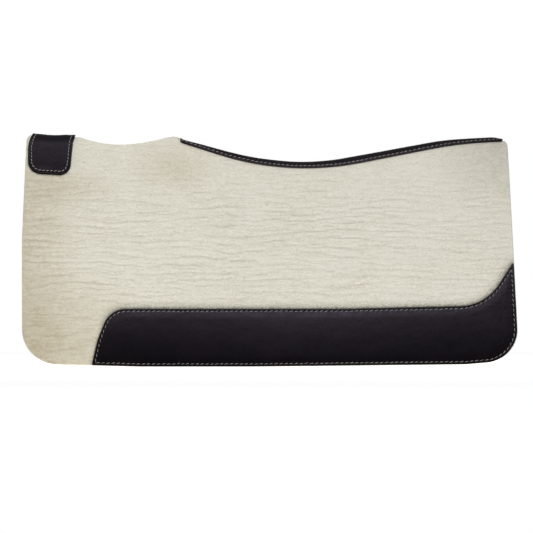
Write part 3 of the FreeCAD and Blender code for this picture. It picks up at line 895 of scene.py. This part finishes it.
class Nodes:
    """Short ways to add and join a material's nodes."""

    def __init__(self, name):
        self.material = bpy.data.materials.new(name)
        self.material.use_nodes = True
        self.tree = self.material.node_tree
        self.shader = self.tree.nodes["Principled BSDF"]

    def put(self, node, inputs):
        """Joins a node's inputs to outputs, or sets them; a colour is three numbers."""
        for key, item in inputs.items():
            socket = node.inputs[key]
            if isinstance(item, bpy.types.NodeSocket):
                self.tree.links.new(item, socket)
            else:
                socket.default_value = (*item, 1) if socket.type == "RGBA" else item

    def add(self, kind, inputs, output, **settings):
        """Adds a node, with its inputs and settings, and gives one of its outputs."""
        node = self.tree.nodes.new(kind)
        for key, setting in settings.items():
            setattr(node, key, setting)
        self.put(node, inputs)
        return node.outputs[output]

    def place(self, stretch=(1, 1, 1), centre=(0, 0, 0), kind="POINT"):
        """Object coordinates, stretched; of the kind TEXTURE, shrunk and moved to a centre."""
        where = self.add("ShaderNodeTexCoord", {}, "Object")
        inputs = {"Vector": where, "Location": centre, "Scale": stretch}
        return self.add("ShaderNodeMapping", inputs, "Vector", vector_type=kind)

    def axis(self, name):
        """One of the object coordinates."""
        where = self.add("ShaderNodeTexCoord", {}, "Object")
        return self.add("ShaderNodeSeparateXYZ", {"Vector": where}, name)

    def noise(self, vector, scale, detail=2, rough=0.5, distortion=0.0):
        inputs = {"Vector": vector, "Scale": scale, "Detail": detail, "Roughness": rough,
                  "Distortion": distortion}
        return self.add("ShaderNodeTexNoise", inputs, "Fac")

    def cells(self, vector, scale):
        return self.add("ShaderNodeTexVoronoi", {"Vector": vector, "Scale": scale}, "Distance")

    def ramp(self, value, low, high, from_low=0.0, from_high=1.0):
        """Clamped linear map of one value range onto another."""
        inputs = {"Value": value, "To Min": low, "To Max": high, "From Min": from_low,
                  "From Max": from_high}
        return self.add("ShaderNodeMapRange", inputs, "Result")

    def times(self, first, second):
        return self.add("ShaderNodeMath", {0: first, 1: second}, "Value", operation="MULTIPLY")

    def mix(self, share, first, second, blend="MIX"):
        """Mixes two colours; each is an output or three numbers."""
        inputs = {0: share, 6: first, 7: second}
        return self.add("ShaderNodeMix", inputs, 2, data_type="RGBA", blend_type=blend)

    def spot(self, centre, reach):
        """1 at a centre (x, z), falling to 0 at the reach to either side and up and down."""
        at = self.place((reach[0], 100, reach[1]), (centre[0], 0, centre[1]), "TEXTURE")
        return self.add("ShaderNodeTexGradient", {"Vector": at}, "Fac", gradient_type="SPHERICAL")

    def attribute(self, name):
        return self.add("ShaderNodeAttribute", {}, "Fac", attribute_name=name)

    def bump(self, height, distance, strength, normal=None):
        inputs = {"Height": height, "Distance": distance, "Strength": strength}
        if normal is not None:
            inputs["Normal"] = normal
        return self.add("ShaderNodeBump", inputs, "Normal")


# The wool's colours, and the painted shade that darkens it in its creases and beside the wear
# leather.
FRONT_CREAM = (0.668, 0.622, 0.488)
REAR_CREAM = (0.640, 0.615, 0.540)
FRONT_SHADE_CREAM = (0.575, 0.525, 0.400)
CLOUD = (0.600, 0.560, 0.440)
PATCH = (0.52, 0.475, 0.36)
STREAK = (0.46, 0.42, 0.32)
PALE_FIBRE = (0.78, 0.753, 0.660)
DARK_HAIR = (0.19, 0.16, 0.115)
PAINTED_CREASE_SHADE = (0.34, 0.295, 0.205)
PAINTED_EDGE_SHADE = (0.15, 0.135, 0.095)
CUT_WOOL = (0.68, 0.64, 0.52)
# Soft darker patches: centre and reach in x and z, how strong, and their tint. The front, low front
# and upper rear ones are painted shade where the light falls off toward the pad's edges; the two
# small ones near the strip's tip and under the wither patch are tan spots.
TAN = (0.70, 0.645, 0.53)
GREY = (0.72, 0.715, 0.715)
SPOTS_AND_EDGE_SHADE = [((-0.41, 0.20), (0.11, 0.26), 0.85, TAN),
          ((-0.37, 0.03), (0.19, 0.14), 0.95, TAN),
          ((-0.152, 0.318), (0.08, 0.045), 0.5, TAN),
          ((-0.33, 0.285), (0.10, 0.035), 0.5, TAN),
          ((0.37, 0.36), (0.13, 0.11), 0.9, GREY)]


def felt_material():
    """Pressed wool: cream fibres, faint clouds, stray dark hairs, soft pile; painted shade in the
    creases, beside the wear leather and toward the edges.
    """
    n = Nodes("wool_felt")
    plain = n.place()
    lying = n.place((0.3, 1, 1))
    rearward = n.ramp(n.axis("X"), 0, 1, -0.38, 0.38)
    base = n.mix(rearward, FRONT_CREAM, REAR_CREAM)
    # Painted shade: darker and warmer toward the front edge, where the light falls off.
    forward = n.ramp(n.axis("X"), 0.6, 0, -0.39, -0.16)
    base = n.mix(forward, base, FRONT_SHADE_CREAM)
    cloud = n.ramp(n.noise(plain, 11, 3, 0.5), 0, 1, 0.38, 0.68)
    colour = n.mix(cloud, base, CLOUD)
    patch = n.ramp(n.noise(lying, 42, 4, 0.6, 0.3), 0, 0.5, 0.48, 0.74)
    colour = n.mix(patch, colour, PATCH)
    streak = n.ramp(n.noise(n.place((0.22, 1, 1)), 210, 3, 0.6, 0.5), 0, 0.55, 0.44, 0.64)
    colour = n.mix(streak, colour, STREAK)
    fibre = n.ramp(n.noise(n.place((0.4, 1, 1)), 480, 5, 0.75, 1.2), 0, 0.75, 0.40, 0.62)
    colour = n.mix(fibre, PALE_FIBRE, colour)
    speck = n.ramp(n.noise(n.place((0.5, 1, 1)), 330, 2, 0.5, 2.2), 0, 0.65, 0.67, 0.76)
    colour = n.mix(speck, colour, DARK_HAIR)
    mottle = n.ramp(n.noise(plain, 55, 4, 0.6, 0.5), 0.72, 1.0, 0.38, 0.62)
    # Painted shade where the light falls off toward the front, low front and upper rear edges, and
    # two small tan spots, each broken up by the mottle.
    for centre, reach, strength, tint in SPOTS_AND_EDGE_SHADE:
        share = n.times(n.ramp(n.spot(centre, reach), 0, strength), mottle)
        colour = n.mix(share, colour, tint, "MULTIPLY")
    # Painted shade along the crease lines.
    valley = n.ramp(n.attribute("crease"), 0.0, 0.28, 0.06, 0.75)
    colour = n.mix(valley, colour, PAINTED_CREASE_SHADE)
    # Painted shade beside the wear leather, broken into specks.
    shade_specks = n.ramp(n.noise(plain, 420, 3, 0.7), 0.2, 0.9, 0.40, 0.62)
    shade = n.times(n.ramp(n.attribute("near_leather"), 0, 1.0, 0.10, 0.85), shade_specks)
    colour = n.mix(shade, colour, PAINTED_EDGE_SHADE)
    cut = n.ramp(n.attribute("cut_edge"), 0, 0.30, 0.3, 1.0)
    colour = n.mix(cut, colour, CUT_WOOL)
    pile = n.noise(n.place((0.55, 1, 1)), 420, 5, 0.72, 1.0)
    tufts = n.noise(lying, 120, 3, 0.6, 0.8)
    ripple = n.noise(n.place((0.12, 1, 1)), 240, 3, 0.55, 0.7)
    rough = n.bump(tufts, 1.2 * MM, 0.3, n.bump(ripple, 1.6 * MM, 0.45))
    n.put(n.shader, {"Base Color": colour, "Normal": n.bump(pile, 0.55 * MM, 0.5, rough),
                     "Roughness": 0.95, "Specular IOR Level": 0.15, "Sheen Weight": 0.2,
                     "Sheen Roughness": 0.6})
    return n.material


DARK_HIDE = (0.0026, 0.0017, 0.0027)
WARM_HIDE = (0.0038, 0.0026, 0.0038)
BURNISHED_HIDE = (0.0030, 0.0022, 0.0024)
VIOLET_SHINE = (0.89, 0.78, 1.0)


def leather_material(name, low_shine, high_shine, low_z, high_z):
    """Black-brown harness leather with a fine pebble grain and burnished edges.

    Its specular level changes with height, which paints the sheen in: more shine higher up on the
    wear leather and wither patch, less at the strip's crown."""
    n = Nodes(name)
    plain = n.place()
    tone = n.ramp(n.noise(plain, 22, 3, 0.5), 0, 1, 0.35, 0.7)
    colour = n.mix(tone, DARK_HIDE, WARM_HIDE)
    edge = n.ramp(n.attribute("edge"), 0, 0.8, 0.25, 1.0)
    colour = n.mix(edge, colour, BURNISHED_HIDE)
    pebble = n.cells(plain, 620)
    fine = n.noise(plain, 1500, 3, 0.6)
    soft = n.noise(plain, 160, 3, 0.55, 0.4)
    normal = n.bump(soft, 0.9 * MM, 0.22)
    normal = n.bump(pebble, 0.28 * MM, 0.34, normal)
    normal = n.bump(fine, 0.1 * MM, 0.3, normal)
    gloss = n.ramp(n.noise(plain, 95, 4, 0.6), 0.36, 0.48, 0.3, 0.7)
    # Painted sheen: the specular level follows the height, to put the highlight where the lamps
    # alone don't.
    painted_sheen = n.ramp(n.axis("Z"), low_shine, high_shine, low_z, high_z)
    n.put(n.shader, {"Base Color": colour, "Normal": normal, "Roughness": gloss,
                     "Specular IOR Level": painted_sheen, "Specular Tint": VIOLET_SHINE})
    return n.material


def thread_material(name, light, dark):
    """Waxed two-ply thread."""
    n = Nodes(name)
    plain = n.place()
    tone = n.ramp(n.noise(plain, 700, 3, 0.6), 0, 1, 0.35, 0.65)
    strands = n.noise(n.place((0.4, 1, 1)), 3200, 2, 0.6)
    n.put(n.shader, {"Base Color": n.mix(tone, light, dark), "Roughness": 0.7,
                     "Normal": n.bump(strands, 0.08 * MM, 0.5), "Sheen Weight": 0.2})
    return n.material


def floor_material():
    """White paper that glows enough to look evenly lit."""
    n = Nodes("pale_floor")
    n.put(n.shader, {"Base Color": (0.9, 0.9, 0.9), "Roughness": 0.9, "Specular IOR Level": 0.1,
                     "Emission Color": (1, 1, 1), "Emission Strength": 0.85})
    return n.material


# ---- The pieces on their bodies ----

FELT_STUFF = felt_material()
# Painted sheen for each leather: specular level from low to high over a height range.
WEAR_STUFF = leather_material("wear_leather_stuff", 0.18, 0.42, 8 * MM, 72 * MM)
RIDGE_STUFF = {
    "wither": leather_material("wither_leather_stuff", 0.17, 0.74, 318 * MM, 362 * MM),
    "spine": leather_material("strip_leather_stuff", 0.80, 0.68, 316 * MM, 366 * MM),
}
THREAD_STUFF = thread_material("waxed_thread", (0.38, 0.36, 0.33), (0.21, 0.195, 0.18))
WOOL_THREAD_STUFF = thread_material("wool_thread", (0.62, 0.585, 0.49), (0.47, 0.44, 0.36))
BROWN_THREAD_STUFF = thread_material("brown_thread", (0.52, 0.43, 0.385), (0.31, 0.245, 0.215))


def bend(obj):
    """Bakes the piece's placement into its mesh."""
    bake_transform(obj)


def finish_piece(obj, material, slot, *nodes):
    """Gives a piece its material and hides the CAD nodes that it stands for."""
    obj.data.materials.append(material)
    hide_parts(*nodes)


def place_felt():
    """Both felt halves, with their material, in place of the CAD halves."""
    for side, obj in make_felt().items():
        finish_piece(obj, FELT_STUFF, "felt", f"felt_panel_{SIDES[side]}")
        bend(obj)


def make_threads(kind, hide, side):
    """Both thread rows of one leather: the needle thread on its face, the bobbin thread inside."""
    word = SIDES[side]
    top = hide.gap + LEATHER - SINK - NEEDLE_SINK
    low = -FELT + BOBBIN_SINK
    needle = make_stitches(f"{word}_{kind}_needle_thread", hide, top, side)
    bobbin = make_stitches(f"{word}_{kind}_bobbin_thread", hide, low, side, face=-1)
    return {"needle": needle, "bobbin": bobbin}


def place_side_leather(side):
    """One wear leather with its two threads."""
    word = SIDES[side]
    leather = make_leather(f"{word}_wear_leather", WEAR, side, 200 + side)
    finish_piece(leather, WEAR_STUFF, "leather", f"wear_leather_{word}")
    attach(leather, f"{word}_side")
    for kind, thread in make_threads("wear", WEAR, side).items():
        finish_piece(thread, THREAD_STUFF, "thread", f"wear_{kind}_thread_{word}")
        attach(thread, f"{word}_side")


def place_ridge_leather(kind, hide, side, seed):
    """One side of a leather that is folded over the ridge, with its two threads."""
    leather = make_leather(f"{SIDES[side]}_{kind}_leather", hide, side, seed + side)
    finish_piece(leather, RIDGE_STUFF[kind], "leather", f"{kind}_leather")
    bend(leather)
    stuff = BROWN_THREAD_STUFF if kind == "spine" else THREAD_STUFF
    for thread_kind, thread in make_threads(kind, hide, side).items():
        finish_piece(thread, stuff, "thread", f"{kind}_{thread_kind}_thread")
        bend(thread)


def place_centre_seam():
    """Zigzags that join the felt halves, on the outer ridge and on the inner crown."""
    front = FRONT_TOP_X + SEAM_END
    rear = REAR_TOP_X - SEAM_END
    bare = [(VENT_REAR, STRIP_LOW.x - 1 * MM)]
    whole = [(front, VENT_FRONT), (VENT_REAR, rear)]
    outer = make_zigzag("centre_seam_outer", bare, *SEAM_OUTER)
    inner = make_zigzag("centre_seam_inner", whole, *SEAM_INNER)
    for obj in (outer, inner):
        finish_piece(obj, WOOL_THREAD_STUFF, "thread", "centre_seam_thread")
        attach(obj, "spine")


place_felt()
for pad_side in SIDES:
    place_side_leather(pad_side)
    place_ridge_leather("wither", WITHER, pad_side, 300)
    place_ridge_leather("spine", STRIP, pad_side, 400)
place_centre_seam()

# ---- Floor, light and camera ----


def make_floor():
    """A plain floor just under the pad, which shiny faces don't mirror."""
    mesh = bpy.data.meshes.new("floor")
    reach = 4.0
    corners = [(-reach, -reach, 0), (reach, -reach, 0), (reach, reach, 0), (-reach, reach, 0)]
    mesh.from_pydata(corners, [], [(0, 1, 2, 3)])
    floor = bpy.data.objects.new("floor", mesh)
    floor.location.z = -0.3 * MM
    bpy.context.scene.collection.objects.link(floor)
    mesh.materials.append(floor_material())
    floor.visible_glossy = False


# Lamps: name, azimuth from the near side and elevation in degrees, distance, size, watts, and
# whether glossy faces mirror them.
LAMPS = [("key", -6, 44, 1.9, (1.3, 0.70), 12.2, True),
         ("down", -8, 64, 1.7, (0.8, 0.5), 8.0, False),
         ("far_key", 178, 9, 1.9, (1.3, 0.5), 10, True),
         ("far_down", 172, 60, 1.7, (0.8, 0.5), 9, False)]
LAMP_AIM = Vector((0, 0, 0.2))


def add_softbox(name, azimuth, elevation, distance, size, watts, mirrored):
    """An area light that faces the pad."""
    light = bpy.data.lights.new(name, "AREA")
    light.shape = "RECTANGLE"
    light.size, light.size_y = size
    light.energy = watts
    lamp = bpy.data.objects.new(name, light)
    a, e = math.radians(azimuth), math.radians(elevation)
    back = Vector((math.sin(a) * math.cos(e), -math.cos(a) * math.cos(e), math.sin(e)))
    lamp.location = LAMP_AIM + back * distance
    lamp.rotation_euler = (-back).to_track_quat("-Z", "Y").to_euler()
    lamp.visible_glossy = mirrored
    bpy.context.scene.collection.objects.link(lamp)


def light_scene():
    """Soft lamps in a dim room that the camera sees as white."""
    world = bpy.data.worlds.new("studio")
    bpy.context.scene.world = world
    world.use_nodes = True
    tree = world.node_tree
    lit, seen = tree.nodes["Background"], tree.nodes.new("ShaderNodeBackground")
    for node, strength in ((lit, 0.12), (seen, 1.0)):
        node.inputs["Color"].default_value = (1, 1, 1, 1)
        node.inputs["Strength"].default_value = strength
    path = tree.nodes.new("ShaderNodeLightPath")
    mix = tree.nodes.new("ShaderNodeMixShader")
    tree.links.new(path.outputs["Is Camera Ray"], mix.inputs["Fac"])
    tree.links.new(lit.outputs["Background"], mix.inputs[1])
    tree.links.new(seen.outputs["Background"], mix.inputs[2])
    tree.links.new(mix.outputs["Shader"], tree.nodes["World Output"].inputs["Surface"])
    for lamp in LAMPS:
        add_softbox(*lamp)


def make_camera():
    """Square on to the near side, from far off, framed as wide as a picture of the whole pad."""
    data = bpy.data.cameras.new("camera")
    data.lens = 1000
    data.sensor_width = 36
    picture_width = 846 * MM
    picture_y = -114 * MM
    camera = bpy.data.objects.new("camera", data)
    distance = picture_width * data.lens / data.sensor_width
    camera.location = (-4.0 * MM, picture_y - distance, 158.9 * MM)
    camera.rotation_euler = (math.pi / 2, 0, 0)
    data.clip_start = 1.0
    data.clip_end = 200
    bpy.context.scene.collection.objects.link(camera)
    bpy.context.scene.camera = camera


make_floor()
light_scene()
make_camera()
bpy.context.scene.view_settings.view_transform = "Standard"
